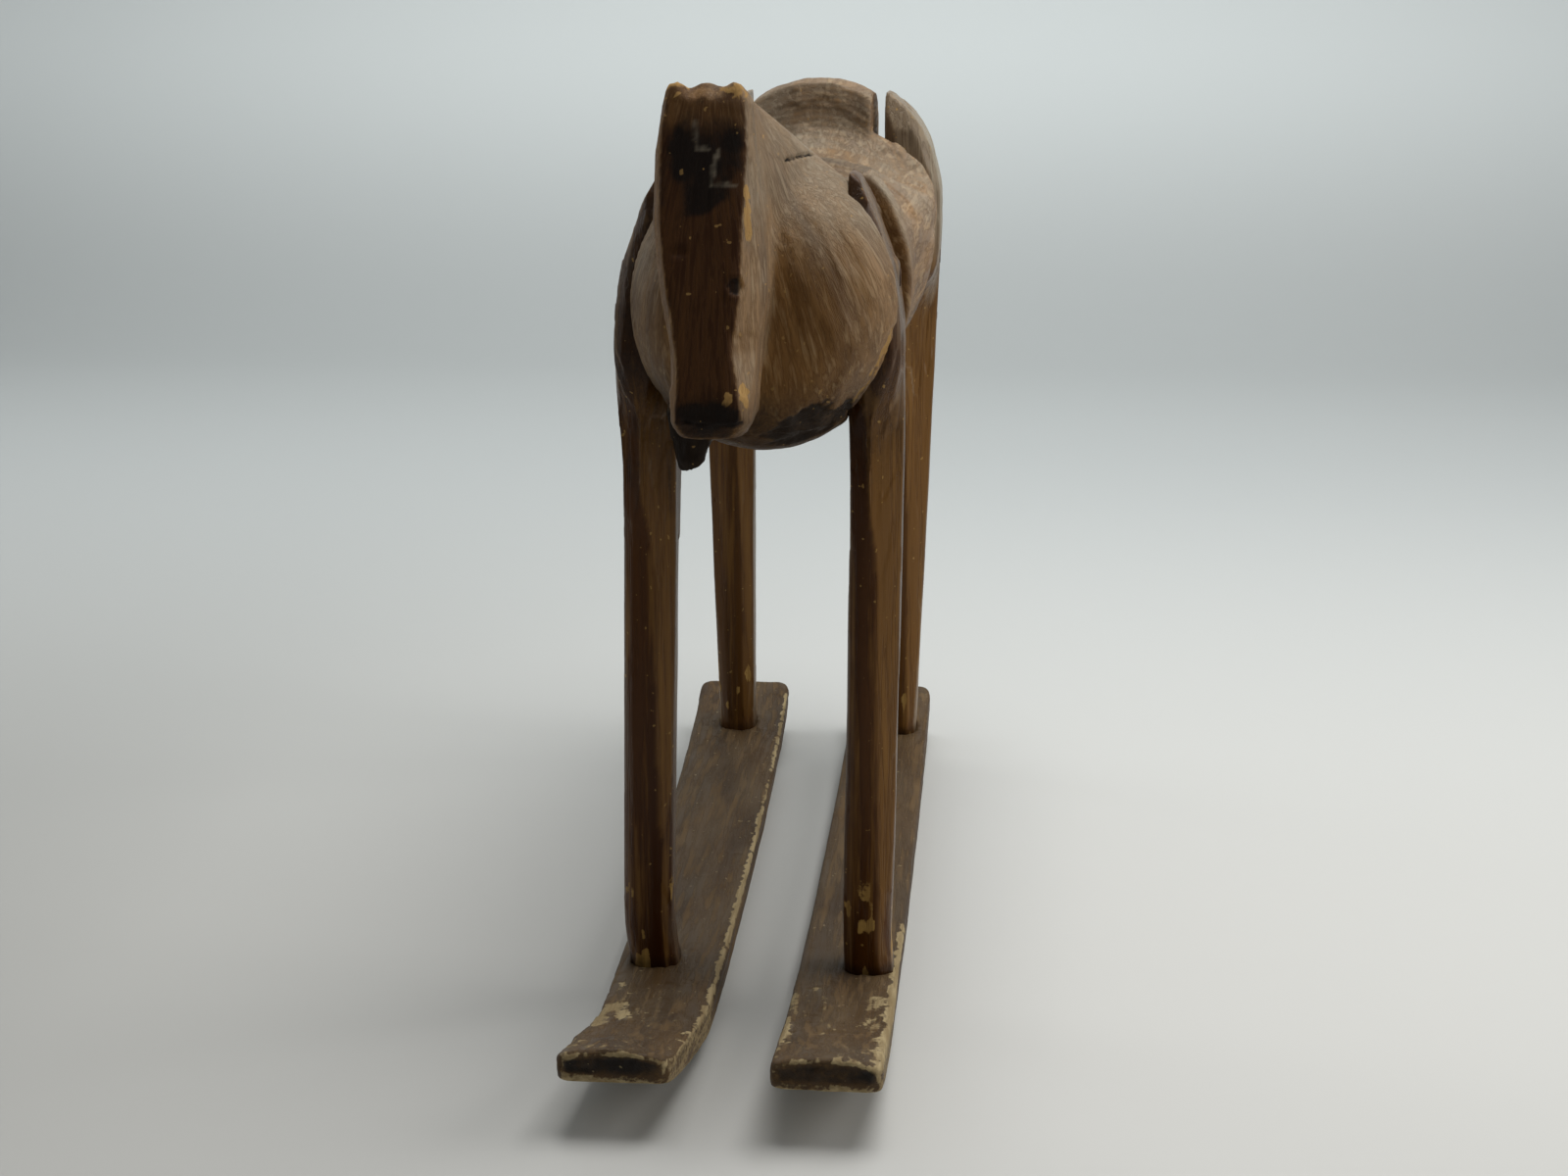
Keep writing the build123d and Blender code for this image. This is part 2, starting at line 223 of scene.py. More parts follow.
    def spot(self, centre, radii, ragged=0.0, seed=0):
        """1 inside an ellipsoid, 0 outside, with a ragged edge."""
        reach = np.linalg.norm((self.co - np.asarray(centre, float)) / np.asarray(radii, float), axis=1)
        if ragged:
            reach = reach + ragged * rough_noise(self.co, np.min(radii) * 0.7, seed, 3)
        return ramp(reach, 1.15, 0.8)

    def stripe(self, points, radius, ragged=0.0, seed=0):
        """1 near a run of lines, 0 away from it, with a ragged edge."""
        reach = self.line_distance(points) / radius
        if ragged:
            reach = reach + ragged * rough_noise(self.co, radius * 1.4, seed, 3)
        return ramp(reach, 1.2, 0.7)

    def line_distance(self, points):
        """Distance in millimetres of each vertex from a run of straight lines."""
        points = np.asarray(points, float)
        best = np.full(len(self.co), 1e9)
        for a, b in zip(points[:-1], points[1:]):
            along = np.clip((self.co - a) @ (b - a) / ((b - a) @ (b - a)), 0, 1)
            best = np.minimum(best, np.linalg.norm(self.co - a - along[:, None] * (b - a), axis=1))
        return best

    def groove(self, points, width, depth, stain=1.0):
        """A crack or cut along points, darker inside."""
        wobble = lattice_noise(self.co, width * 3, 5) * width * 0.4
        cut = ramp(self.line_distance(points) + wobble, width, width * 0.2)
        self.push(-cut * depth)
        self.add("dark", cut * stain)

    def hollowness(self, rounds):
        """Positive in hollows, negative on edges, at a scale that grows with rounds."""
        saved = self.co.copy()
        blurred = self.co
        for _ in range(rounds):
            blurred = self.neighbour_mean(blurred)
        return np.einsum("ij,ij->i", blurred - saved, self.normal)

    def add(self, name, values):
        """Adds to a mask, which stays between 0 and 1."""
        old = self.masks.get(name, np.zeros(len(self.co)))
        self.masks[name] = np.clip(old + values, 0, 1)

    def finish(self, material, slot, *nodes):
        """Keeps the skin in the CAD box, stores the masks and puts the piece in the frame."""
        low, high = np.array(cad_box[0]) / MM, np.array(cad_box[1]) / MM
        self.co = np.clip(self.co, low, high)
        self.renormal()
        for name, values in self.masks.items():
            kind, field = ("FLOAT", "value") if values.ndim == 1 else ("FLOAT_VECTOR", "vector")
            layer = self.mesh.attributes.new(name, kind, "POINT")
            layer.data.foreach_set(field, values.astype(np.float32).ravel())
        self.mesh.polygons.foreach_set("use_smooth", np.ones(len(self.mesh.polygons), bool))
        self.mesh.materials.append(material)
        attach(self.obj, BODY)
        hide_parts(*nodes)


# ---------------------------------------------------------------- shader helpers

class Shader:
    """A node material with a few short ways to add and join nodes."""

    def __init__(self, name):
        self.material = bpy.data.materials.new(name)
        self.material.use_nodes = True
        self.nodes = self.material.node_tree.nodes
        self.links = self.material.node_tree.links
        self.principled = self.nodes["Principled BSDF"]

    def feed(self, socket, value):
        if isinstance(value, bpy.types.NodeSocket):
            self.links.new(value, socket)
        elif value is not None:
            socket.default_value = value

    def attribute(self, name, vector=False):
        node = self.nodes.new("ShaderNodeAttribute")
        node.attribute_name = name
        return node.outputs["Vector" if vector else "Fac"]

    def place(self):
        return self.nodes.new("ShaderNodeTexCoord").outputs["Object"]

    def mapped(self, vector, scale, location=(0, 0, 0)):
        node = self.nodes.new("ShaderNodeMapping")
        self.feed(node.inputs["Vector"], vector)
        node.inputs["Scale"].default_value = scale
        node.inputs["Location"].default_value = location
        return node.outputs["Vector"]

    def noise(self, vector, scale, detail=4.0, rough=0.6, warp=0.0):
        node = self.nodes.new("ShaderNodeTexNoise")
        self.feed(node.inputs["Vector"], vector)
        node.inputs["Scale"].default_value = scale
        node.inputs["Detail"].default_value = detail
        node.inputs["Roughness"].default_value = rough
        node.inputs["Distortion"].default_value = warp
        return node.outputs["Fac"]

    def rings(self, vector, scale, warp):
        node = self.nodes.new("ShaderNodeTexWave")
        node.wave_type = "RINGS"
        node.rings_direction = "Y"
        self.feed(node.inputs["Vector"], vector)
        node.inputs["Scale"].default_value = scale
        node.inputs["Distortion"].default_value = warp
        node.inputs["Detail"].default_value = 3.0
        node.inputs["Detail Scale"].default_value = 0.6
        return node.outputs["Fac"]

    def math(self, kind, a, b=None):
        node = self.nodes.new("ShaderNodeMath")
        node.operation = kind
        self.feed(node.inputs[0], a)
        self.feed(node.inputs[1], b)
        return node.outputs[0]

    def steps(self, value, low, high, to_low=0.0, to_high=1.0):
        node = self.nodes.new("ShaderNodeMapRange")
        node.interpolation_type = "SMOOTHSTEP"
        self.feed(node.inputs["Value"], value)
        node.inputs["From Min"].default_value = low
        node.inputs["From Max"].default_value = high
        node.inputs["To Min"].default_value = to_low
        node.inputs["To Max"].default_value = to_high
        return node.outputs["Result"]

    def mix(self, factor, a, b, blend="MIX"):
        node = self.nodes.new("ShaderNodeMix")
        node.data_type = "RGBA"
        node.blend_type = blend
        self.feed(node.inputs["Factor"], factor)
        self.feed(node.inputs[6], a)
        self.feed(node.inputs[7], b)
        return node.outputs[2]

    def blend(self, factor, a, b):
        """A number between a and b."""
        node = self.nodes.new("ShaderNodeMix")
        node.data_type = "FLOAT"
        self.feed(node.inputs["Factor"], factor)
        self.feed(node.inputs[2], a)
        self.feed(node.inputs[3], b)
        return node.outputs[0]

    def bump(self, height, distance, strength=1.0, under=None):
        node = self.nodes.new("ShaderNodeBump")
        self.feed(node.inputs["Height"], height)
        node.inputs["Distance"].default_value = distance * MM
        node.inputs["Strength"].default_value = strength
        self.feed(node.inputs["Normal"], under)
        return node.outputs["Normal"]

    def set(self, **inputs):
        for name, value in inputs.items():
            self.feed(self.principled.inputs[name.replace("_", " ")], value)
        return self.material


def tone(r, g, b):
    """A screen colour, 0 to 255, as a linear one."""
    def linear(c):
        c = c / 255
        return c / 12.92 if c < 0.04045 else ((c + 0.055) / 1.055) ** 2.4
    return (linear(r), linear(g), linear(b), 1.0)


# The darkest colour, mixed in where the dark mask says: dirt, and also painted shade.
DIRT_AND_SHADE = tone(14, 6, 2)


def wood(s, broad, streak, fine, deep, middle, light, bare, gloss=(0.3, 0.55), rings=None, grey=None,
         face=None, shine=0.25, lift=None):
    """Old stained wood: streaks along the grain, worn, dirty and painted in shade where the masks say.

    broad, streak and fine are noises from coarse to fine. deep, middle and light are the stain's
    colours, bare is where it has worn off, grey is dust and painted sheen, and face is a darker stain
    that also stands for painted shade. gloss holds the least and greatest roughness, and rings the
    place, scale and warp of the growth rings. lift, from 0 to 1, is painted light: it turns the stain
    lighter.
    """
    blotch = s.noise(s.place(), 16, 4, 0.6)
    speck = s.noise(s.place(), 420, 2, 0.6)
    fleck = s.noise(s.place(), 260, 1, 0.5)
    fibre = s.math("ABSOLUTE", s.math("SUBTRACT", streak, 0.5))
    fibre = s.steps(fibre, 0.0, 0.045, 1.0, 0.0)
    color = s.mix(s.steps(broad, 0.27, 0.66), deep, middle)
    color = s.mix(s.steps(streak, 0.50, 0.68, 0, 0.6), color, light)
    color = s.mix(s.steps(blotch, 0.45, 0.72, 0, 0.4), color, deep)
    color = s.mix(s.steps(fine, 0.30, 0.52, 0.3, 0), color, deep)
    height = s.math("ADD", s.math("MULTIPLY", streak, 0.5), s.math("MULTIPLY", fine, 0.35))
    # Painted light: the stain turned lighter where lift says.
    if lift:
        color = s.mix(lift, color, light)
    if rings:
        ring = s.math("MULTIPLY", s.rings(*rings), s.attribute("ringed"))
        color = s.mix(s.math("MULTIPLY", ring, 0.68), color, deep)
        height = s.math("SUBTRACT", height, s.math("MULTIPLY", ring, 0.25))
    # Greyed as dust and as painted sheen on the surfaces turned up and to the sides.
    if grey:
        dust_and_sheen_amount = s.math("MULTIPLY", s.attribute("dust_and_sheen"), s.steps(streak, 0.2, 0.6, 0.45, 1.0))
        color = s.mix(dust_and_sheen_amount, color, grey)
    # The front of the head darker: its stain, and painted shade on the planes turned to the front.
    if face:
        color = s.mix(s.attribute("face"), color, s.mix(s.steps(streak, 0.35, 0.8), face, deep))
    color = s.mix(s.math("MULTIPLY", fibre, 0.28), color, deep)
    ragged = s.math("ADD", s.attribute("worn"), s.math("MULTIPLY", s.math("SUBTRACT", streak, 0.5), 0.9))
    ragged = s.math("ADD", ragged, s.math("MULTIPLY", s.math("SUBTRACT", speck, 0.5), 0.6))
    worn = s.steps(ragged, 0.44, 0.70, 0, 0.9)
    bare_color = s.mix(s.steps(streak, 0.35, 0.65), bare, s.mix(0.5, bare, middle))
    color = s.mix(worn, color, bare_color)
    # Darker towards the dirt colour: dirt and cracks, and painted shade in hollows, in gaps, under the chest
    # and on faces turned to the front.
    dark = s.math("ADD", s.attribute("dark"), s.math("MULTIPLY", s.math("SUBTRACT", blotch, 0.5), 0.6))
    dark = s.math("ADD", dark, s.math("MULTIPLY", s.math("SUBTRACT", speck, 0.5), 0.3))
    color = s.mix(s.steps(dark, 0.2, 1.0, 0, 0.95), color, DIRT_AND_SHADE)
    color = s.mix(s.steps(fleck, 0.735, 0.765, 0, 0.45), color, bare)
    if face:
        color = s.mix(s.attribute("chalk"), color, grey)
    rough = s.math("ADD", s.steps(streak, 0.3, 0.7, gloss[0], gloss[1]), s.math("MULTIPLY", worn, 0.2))
    height = s.math("SUBTRACT", height, s.math("MULTIPLY", fibre, 0.4))
    return s.set(Base_Color=color, Roughness=rough, Normal=s.bump(height, 0.35), Specular_IOR_Level=shine)


# ---------------------------------------------------------------- camera, floor and light

CAMERA_PLACE = Vector((132.9, -1483.6, 597.7)) * MM
CAMERA_YAW = math.radians(5.0)
CAMERA_PITCH = math.radians(-14.5)
CAMERA_LENS = 54.09


def camera():
    data = bpy.data.cameras.new("camera")
    data.lens = CAMERA_LENS
    data.sensor_width = 36.0
    obj = bpy.data.objects.new("camera", data)
    obj.location = CAMERA_PLACE
    obj.rotation_euler = (math.radians(90) + CAMERA_PITCH, 0, CAMERA_YAW)
    bpy.context.scene.collection.objects.link(obj)
    bpy.context.scene.camera = obj


def backdrop():
    """A pale floor that sweeps up into a wall, with painted shade on the left and towards the back, and
    painted light higher up the wall.
    """
    front, bend, radius, height, half = -4.0, 2.2, 1.2, 5.0, 6.0
    profile = [(front, 0.0), (bend, 0.0)]
    for i in range(1, 17):
        turn = math.radians(90 * i / 16)
        profile.append((bend + radius * math.sin(turn), radius * (1 - math.cos(turn))))
    profile.append((bend + radius, height))
    points = [(x, y, z) for y, z in profile for x in (-half, half)]
    faces = [(2 * i, 2 * i + 1, 2 * i + 3, 2 * i + 2) for i in range(len(profile) - 1)]
    mesh = bpy.data.meshes.new("backdrop")
    mesh.from_pydata(points, [], faces)
    mesh.polygons.foreach_set("use_smooth", [True] * len(faces))
    obj = bpy.data.objects.new("backdrop", mesh)
    bpy.context.scene.collection.objects.link(obj)
    s = Shader("paper")
    apart = s.nodes.new("ShaderNodeSeparateXYZ")
    s.feed(apart.inputs[0], s.place())
    across, back, up = apart.outputs
    # Painted shade on the left of the floor and towards the back, and painted light higher up the wall.
    paper = s.mix(s.steps(across, 0.3, -0.7), tone(196, 196, 193), tone(164, 164, 161))
    paper = s.mix(s.steps(back, -0.4, 1.6), paper, tone(170, 173, 173))
    paper = s.mix(s.steps(up, 0.0, 0.5), paper, tone(206, 210, 210))
    mesh.materials.append(s.set(Base_Color=paper, Roughness=0.75, Specular_IOR_Level=0.2))


def lamp(name, place, target, size, watts, color=(1, 1, 1)):
    data = bpy.data.lights.new(name, "AREA")
    data.shape = "DISK"
    data.size = size
    data.energy = watts
    data.color = color
    obj = bpy.data.objects.new(name, data)
    obj.location = place
    obj.rotation_euler = (Vector(target) - Vector(place)).to_track_quat("-Z", "Y").to_euler()
    bpy.context.scene.collection.objects.link(obj)


def lights():
    lamp("top", (0.42, 0.1, 2.5), (0.1, 0.0, 0.2), 1.9, 56, (1.0, 0.99, 0.97))
    lamp("right", (2.3, 0.2, 1.2), (0, 0, 0.3), 1.6, 26, (1.0, 0.99, 0.98))
    lamp("left", (-2.3, 0.9, 1.1), (0, 0, 0.3), 1.6, 10, (0.98, 1.0, 1.0))
    lamp("wall", (-0.2, 1.7, 2.4), (-0.2, 3.4, 0.7), 3.4, 44, (0.95, 1.0, 1.0))
    world = bpy.data.worlds.new("world")
    world.use_nodes = True
    world.node_tree.nodes["Background"].inputs["Color"].default_value = (0.64, 0.65, 0.65, 1)
    world.node_tree.nodes["Background"].inputs["Strength"].default_value = 0.26
    bpy.context.scene.world = world
    bpy.context.scene.view_settings.view_transform = "Standard"


camera()
backdrop()
lights()


# ---------------------------------------------------------------- the log body

# The grain fans out from a point above the poll over the neck and chest.
GRAIN_SOURCE = np.array([-11.0, -250.0, 600.0])
# The middle of the trunk, then the middle, half width and half height of the chest.
LOG_AXIS = np.array([8.1, 0.0, 437.0])
CHEST_MIDDLE_Z = 427.0
CHEST_HALF_WIDTH = 76.0
CHEST_HALF_HEIGHT = 84.0
# The leg housings lie evenly on both sides of this X.
HOUSING_MIDDLE_X = 5.1
# The hewn flat from the left ear down to the left cheek.
CREST_START = np.array([2.1, -200, 535.7])
CREST_FACING = np.array([0.6331, 0.1016, 0.7674])
# The crack across that flat is a thin slot, square to CRACK_FACING.
CRACK_POINT = np.array([31.6, -205.0, 505.7])
CRACK_FACING = np.array([0.2335, -0.0516, -0.971])
# Each end crack runs from the heart of the rump's end to one of these places (x, z) on its rim.
RUMP_HEART = (8, 318, 438)
RUMP_CRACKS = ((-24, 470), (38, 486), (46, 424), (14, 376), (-22, 402))
# The small round knot on the face.
KNOT = (3.0, -285.6, 445.6)
# The splinter that hangs by the front right leg.
LOG_LUMPS = (((-45, -206, 366), (-18, -212, 352), (-20, -196, 350), (-45, -190, 366), (-38, -203, 329),
              (-31, -208, 331), (-24, -207, 338), (-26, -196, 340), (-40, -196, 333)),)


def shape_log(skin):
    """Gives the log its chest, seat, rump and neck."""
    x, y, z = skin.co.T
    # The flanks stand flush behind the front cheeks, and the chest laps in front of them.
    out = (x - LOG_AXIS[0]) / CHEST_HALF_WIDTH
    rise = (z - CHEST_MIDDLE_Z) / CHEST_HALF_HEIGHT
    reach = np.maximum(np.hypot(out, rise), 0.5)
    lift = np.clip(1 / reach - 1, 0, 0.3) * ramp(y, -65, -135) * ramp(y, -160, -150)
    lift = lift * ramp(np.abs(out), 0.3, 0.62) * ramp(z, 425, 440)
    skin.co += np.stack([(x - LOG_AXIS[0]) * lift, 0 * x, (z - CHEST_MIDDLE_Z) * lift * 0.7], 1)
    lap = ramp(y, -199, -205) * ramp(y, -240, -222) * ramp(x, 46, 66)
    lap = lap * ramp(z, 385, 415) * ramp(z, 506, 470)
    skin.co[:, 0] += lap * 3.0
    # The seat is hewn deeper in front of the rump, and the rump is narrow beside the rear left cheek.
    drop = np.interp(y, (10, 80, 140, 184, 204), (0, 8, 17, 15, 0)) * ramp(z, 450, 482)
    skin.co[:, 2] -= drop
    beside = ramp(y, 222, 230) * ramp(z, 468, 480) * ramp(x, 44, 47)
    skin.co[:, 0] -= np.maximum(x - 46.6, 0) * beside
    skin.renormal()
    # The neck runs into the chest and the seat without a step.
    corner = ramp(np.abs(x - HOUSING_MIDDLE_X), 43, 49) * ramp(y, -116, -130)
    skin.smooth(26, ramp(y, 60, -40) * ramp(z, 415, 450) * ramp(y, -258, -232) * (1 - corner))
    skin.smooth(10, ramp(y, 120, 150) * ramp(y, 222, 200) * ramp(z, 430, 455) * ramp(z, 500, 485))
    skin.smooth(2, ramp(y, -262, -240))
    # The crest falls in one straight line from the left ear to the top of the left cheek.
    over = (skin.co - CREST_START) @ CREST_FACING
    neck = ramp(y, -55, -85) * ramp(y, -243, -236) * ramp(x, -20, -6) * ramp(x, 66, 58)
    neck = neck * ramp(z, 455, 470)
    skin.co -= np.outer(np.maximum(over, 0) * neck, CREST_FACING)
    skin.renormal()
    skin.smooth(3, neck)
    skin.smooth(1)


def hew_log(skin, base, fan, front, head):
    """Drawknife and hatchet flats, then waves and fine tool lines along the grain."""
    housed = ramp(np.abs(skin.normal[:, 0]), 0.97, 0.93)
    skin.facets((24, 75, 24), 0.8, 1.8, 3, (1 - front) * housed)
    skin.facets((13, 13, 13), 0.6, 0.9, 9, front * (1 - head) * housed, fan)
    skin.facets((13, 30, 30), 0.8, 0.8, 17, head)
    skin.push(rough_noise(base, (34, 80, 34), 4, 2) * 0.8 * (1 - head) * (1 - 0.5 * front))
    skin.smooth(1)
    fanned = lattice_noise(fan, 2.2, 21) * 0.14 * front
    straight = lattice_noise(base, (3, 24, 3), 6) * 0.2 * (1 - front)
    skin.push(fanned + straight)
    skin.push(lattice_noise(fan, 7.5, 22) * 0.2 * front * (1 - head))
    # Broken, bark-like hollow low on the chest.
    broken = skin.spot((42, -226, 359), (33, 22, 15), 0.5, 31)
    skin.push(-broken * (2.2 + 2.4 * rough_noise(base, (9, 9, 5), 33, 3)))
    skin.add("dark", broken * (0.75 + 0.9 * rough_noise(base, (14, 6, 4), 34, 3)))


def crack_log(skin):
    """Mouth, cracks, the small round knot on the face and a gouge beside it."""
    mouth = [(-22, -301, 377.5), (-14, -301, 375.6), (-4, -301, 375), (5, -301, 375.8), (11, -296, 377.5)]
    skin.groove(mouth, 1.5, 1.8, 0.7)
    slot = np.abs((skin.co - CRACK_POINT) @ CRACK_FACING)
    crack = skin.stripe([(26, -218, 505), (31.6, -205, 505.7), (36.5, -195, 506)], 7.0) * ramp(slot, 1.2, 0.3)
    skin.push(-crack * 2.0)
    skin.add("dark", crack)
    skin.groove([(23, -241, 470), (23.7, -243, 463), (26.5, -243, 462), (30, -244, 453)], 0.8, 0.4, 0.6)
    skin.groove([(50, -140, 500), (54, -120, 494)], 1.6, 2.0)
    heart_x, heart_y, heart_z = RUMP_HEART
    for rim_x, rim_z in RUMP_CRACKS:
        bend = ((heart_x + rim_x) / 2 + 3, heart_y, (heart_z + rim_z) / 2)
        skin.groove([RUMP_HEART, bend, (rim_x, heart_y - 4, rim_z)], 1.2, 1.5)
    knot = skin.spot(KNOT, (4.2, 5, 4.6), 0.25, 12)
    skin.push(-knot * 1.3)
    ring = skin.spot(KNOT, (6.5, 7, 7.5), 0.2, 12) - knot
    skin.push(ring * 0.3)
    skin.add("dark", knot * 0.8 + ring * 0.15)
    gouge = skin.spot((-26.5, -281, 462.5), (4.5, 6, 3.2), 0.3, 14)
    skin.push(-gouge * 0.8)


def stain_and_shade_log(skin, base, face):
    """Dark places: the forehead, the splinter's root and the muzzle, and painted shade on the underside of
    the chest.
    """
    y, z = base.T[1:]
    stain = skin.spot((-13, -270, 509), (19, 30, 28), 0.7, 51)
    for _ in range(2):
        stain = skin.neighbour_mean(stain)[:, 0]
    skin.add("dark", face * stain * (0.85 + 0.4 * rough_noise(base, (8, 8, 12), 53, 3)))
    skin.add("dark", skin.spot((-33, -203, 338), (18, 20, 26), 0.5, 57) * 0.55)
    skin.push(skin.spot((-33, -203, 338), (14, 20, 20)) * rough_noise(base, (6, 6, 9), 58, 3) * 2.2)
    skin.add("dark", face * skin.spot((-10, -300, 381), (19, 14, 7), 0.5, 52) * 0.36)
    # The face darker all over: partly its stain, partly painted shade.
    skin.add("dark", face * (0.12 + 0.2 * rough_noise(base, (7, 7, 30), 54, 3)))
    seam = skin.stripe([(-36, -262, 535), (-40, -280, 470), (-33, -292, 430)], 5, 0.8, 55)
    skin.add("dark", ramp(seam, 0, 1) * 0.35)
    skin.groove([(-3.2, -283.5, 453.8), (-2.4, -287.8, 436.8)], 1.0, 0.5, 0.5)
    skin.groove([(-1.6, -290, 427), (1.5, -292, 420)], 0.9, 0.5, 0.5)
    skin.groove([(-20, -272, 489), (-21, -281, 452)], 1.2, 0.5, 0.5)
    # Painted shade on the underside of the chest.
    skin.add("dark", ramp(z, 418, 362) * ramp(y, -150, -200) * 0.72)


def wear_log(skin, base):
    """Bare wood on the ears, down the edge of the face, on the muzzle and round the chest's rim."""
    ears = skin.spot((0, -256, 543), (8.5, 8, 7), 0.4, 61) + skin.spot((-31, -257, 541), (8, 7, 6), 0.5, 62)
    skin.add("worn", ears * (0.62 + 0.9 * rough_noise(base, (4, 4, 4), 60, 3)))
    skin.add("worn", skin.stripe([(8, -271, 492), (9.5, -275, 470)], 3.2, 0.6, 63) * 0.75)
    skin.add("worn", skin.stripe([(9, -276, 462), (8, -288, 420)], 1.8, 0.9, 64) * 0.45)
    skin.add("worn", skin.spot((8, -295, 390), (3.4, 5, 7), 0.5, 65) * 0.9)
    skin.add("worn", skin.spot((0, -299, 389), (3.2, 4, 5), 0.7, 66) * 0.8)
    skin.add("worn", skin.stripe([(-30, -290, 378), (-30, -290, 392)], 2.2, 0.6, 67) * 0.6)
    rim = skin.stripe([(82, -208, 412), (72, -211, 386), (60, -213, 370)], 4.5, 0.9, 68)
    skin.add("worn", rim * (0.6 + 0.6 * rough_noise(base, (4, 4, 8), 69, 3)))
    skin.push(-rim * (0.8 + 1.2 * rough_noise(base, (4, 4, 7), 70, 3)))


def mask_log(skin, base, fan, front, head, face):
    """The masks and grain places that the log's material reads."""
    x, y, z = base.T
    scuffs = skin.stripe([(-19.5, -264.6, 527), (-19.3, -266.7, 519), (-18, -268, 513.5),
                          (-12.7, -268, 513.4)], 1.1)
    scuffs += skin.stripe([(-7, -268, 513), (-9.4, -270.4, 505), (-9.7, -273, 495.5),
                           (-2, -272.6, 496)], 1.2)
    scuffs += skin.stripe([(-2, -272.6, 496), (2.5, -272.6, 495)], 1.0)
    broken_up = np.clip(0.55 + 0.9 * rough_noise(base, (3, 3, 4), 91, 3), 0, 1)
    skin.masks["chalk"] = np.clip(scuffs, 0, 1) * broken_up * 0.62
    skin.masks["face"] = face
    side, ahead, top = (skin.normal * (1, -1, 1)).T
    # Dust and painted sheen: greyer on the surfaces turned up and to the sides, on the upper neck and on the
    # front of the rump.
    dust_and_sheen_amount = ramp(top, -0.1, 0.8) * 0.6
    dust_and_sheen_amount = dust_and_sheen_amount + front * ramp(z, 455, 495) * ramp(side, -0.1, 0.5) * 0.5
    dust_and_sheen_amount = dust_and_sheen_amount + ramp(side, 0.2, 0.9) * 0.36
    dust_and_sheen_amount = dust_and_sheen_amount + ramp(y, 60, 130) * ramp(ahead, 0.1, 0.5) * 0.9
    dust_and_sheen_amount = dust_and_sheen_amount + ramp(side, -0.3, -0.9) * 0.45
    mottled = 0.75 + 0.5 * rough_noise(base, (30, 50, 30), 81, 3)
    skin.masks["dust_and_sheen"] = np.clip(dust_and_sheen_amount, 0, 0.9) * (1 - face) * mottled * (1 - 0.8 * head * ramp(x, 0, -20))
    # Painted shade in the gap behind the chest's lap, the rump's end, and painted shade over the middle of
    # the seat.
    beside = ramp(np.abs(x - HOUSING_MIDDLE_X), 46, 49)
    skin.add("dark", beside * ramp(-ahead, 0.3, 0.7) * ramp(y, -195, -200) * 0.8)
    end_grain = ramp(-ahead, 0.5, 0.85) * ramp(y, 285, 300)
    skin.masks["end"] = end_grain
    skin.masks["ringed"] = np.maximum(ramp(y, 60, 130) * ramp(y, 238, 226) * ramp(z, 455, 472), end_grain)
    seat_shade = ramp(y, -190, -120) * ramp(y, 170, 60) * ramp(z, 455, 470) * ramp(np.abs(x - 8), 70, 40)
    skin.add("dark", seat_shade * 0.55)
    skin.masks["front"] = front
    skin.masks["fan"] = fan * MM
    skin.masks["trunk"] = (base - LOG_AXIS) * np.array([1, 0.07, 1]) * MM


def carve_log():
    skin = Carving("body_log", LOG_VOXEL, "log", LOG_LUMPS)
    shape_log(skin)
    base = skin.co.copy()
    y, z = base.T[1:]
    offset = base - GRAIN_SOURCE
    away = np.linalg.norm(offset, axis=1)[:, None]
    fan = offset / away * (160 + 0.1 * away)
    front = ramp(y + 0.35 * (z - LOG_AXIS[2]), -80, -150)
    # The head is what lies within a slanting distance of the face.
    below_poll = 538 - z
    depth = y + 262 + below_poll * 0.25
    thickness = 15 + below_poll * 0.12
    head = ramp(depth, thickness + 8, thickness)
    # The face is the head's planes turned to the front; its darker colour is partly stain and partly painted
    # shade.
    ahead = -skin.normal[:, 1] + 0.12 * rough_noise(base, (9, 9, 22), 71, 3)
    face = (1 - 0.45 * ramp(z, 518, 530)) * head * ramp(ahead, 0.66, 0.88)
    hew_log(skin, base, fan, front, head)
    crack_log(skin)
    hollow = skin.hollowness(6)
    # Painted shade in the hollows.
    skin.add("dark", ramp(hollow, 0.5, 1.6) * 0.5)
    stain_and_shade_log(skin, base, face)
    wear_log(skin, base)
    patch = rough_noise(base, (12, 26, 12), 41, 3)
    skin.add("worn", ramp(hollow, -0.35, -1.1) * (0.12 + 0.32 * patch) * (1 - head * 0.5))
    mask_log(skin, base, fan, front, head, face)
    skin.finish(log_wood(), "hewn_log", "body_log")


def log_wood():
    s = Shader("log_wood")
    front = s.attribute("front")

    def both(scale, detail, rough):
        return s.blend(front, s.noise(s.attribute("trunk", True), scale, detail, rough),
                       s.noise(s.attribute("fan", True), scale, detail, rough))

    ring_place = s.mapped(s.place(), (1, 1, 1), (-LOG_AXIS[0] * MM, 0, -LOG_AXIS[2] * MM))
    streak = s.blend(front, s.noise(s.attribute("trunk", True), 230, 5, 0.65),
                     s.blend(0.35, s.noise(s.attribute("fan", True), 380, 4, 0.6), 0.5))
    end = s.attribute("end")
    streak = s.blend(s.math("MULTIPLY", end, 0.8), streak, 0.55)
    broad = s.blend(s.math("MULTIPLY", end, 0.7), both(60, 3, 0.6), 0.55)
    # grey is dust and painted sheen; face is the dark stain and painted shade of the face.
    return wood(s, broad, streak, both(900, 3, 0.6), tone(80, 50, 19), tone(134, 97, 53),
                tone(176, 148, 110), tone(174, 138, 82), gloss=(0.45, 0.7), rings=(ring_place, 76, 4),
                grey=tone(140, 129, 111), face=tone(47, 23, 4), shine=0.15)


# ---------------------------------------------------------------- legs

# Heights on a leg: the runner's top, the foot, the shin, the knee and the foot of the cheek.
LEG_HEIGHTS = (24, 50, 190, 330, 380)


